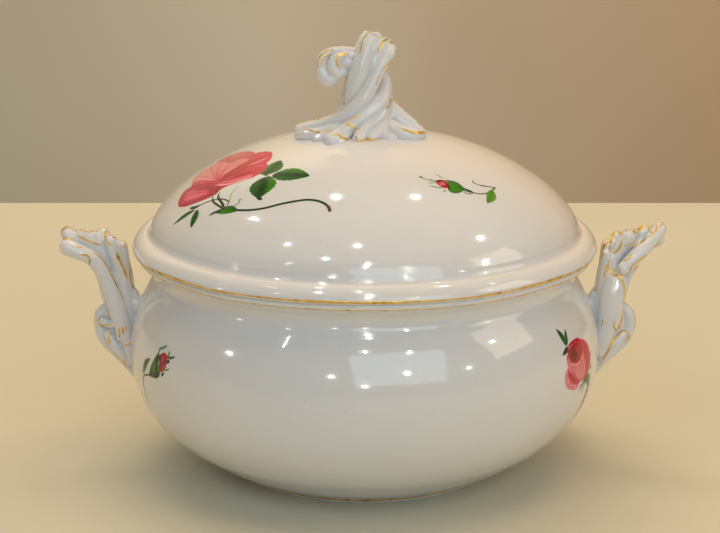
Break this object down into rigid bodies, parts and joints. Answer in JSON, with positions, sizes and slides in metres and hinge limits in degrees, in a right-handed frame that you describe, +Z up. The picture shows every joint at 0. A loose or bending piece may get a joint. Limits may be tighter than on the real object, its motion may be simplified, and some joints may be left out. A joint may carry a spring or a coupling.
{
  "type": "soup tureen",
  "caption": "Round covered soup tureen in glazed white porcelain, with a domed lift-off lid, a scrolled knob, leaf handles, gilded edges and painted roses.",
  "frame": {"origin": "centre of the foot, on the surface that the tureen stands on", "axes": "+Z up; X through the two handles; the knob's scroll curls towards -X and the painted front faces -Y"},
  "size_m": [0.3252, 0.2516, 0.234],
  "materials": {
    "glazed_porcelain": "clear high-gloss glaze over white porcelain",
    "bare_porcelain": "ground matt, unglazed where it meets the table",
    "gilding": "burnished gold line fired on the glaze, slightly worn"
  },
  "bodies": {
    "bowl": {"bowl_belly": "glazed_porcelain", "bowl_neck": "glazed_porcelain", "foot_ring": "bare_porcelain", "left_handle": "glazed_porcelain", "right_handle": "glazed_porcelain", "bowl_lip_gilding": "gilding", "foot_gilding": "gilding"},
    "lid": {"lid_dome": "glazed_porcelain", "lid_locating_ring": "glazed_porcelain", "lid_rim_gilding": "gilding", "knob_stem": "glazed_porcelain", "knob_scroll": "glazed_porcelain", "knob_left_leaf": "glazed_porcelain", "knob_front_leaf": "glazed_porcelain", "knob_right_leaf": "glazed_porcelain", "knob_back_leaf": "glazed_porcelain"}
  },
  "joints": [
    {"name": "lid_lift", "type": "slide", "parent": "bowl", "child": "lid", "axis": [0, 0, 1], "range_m": [0, 0.11]}
  ]
}
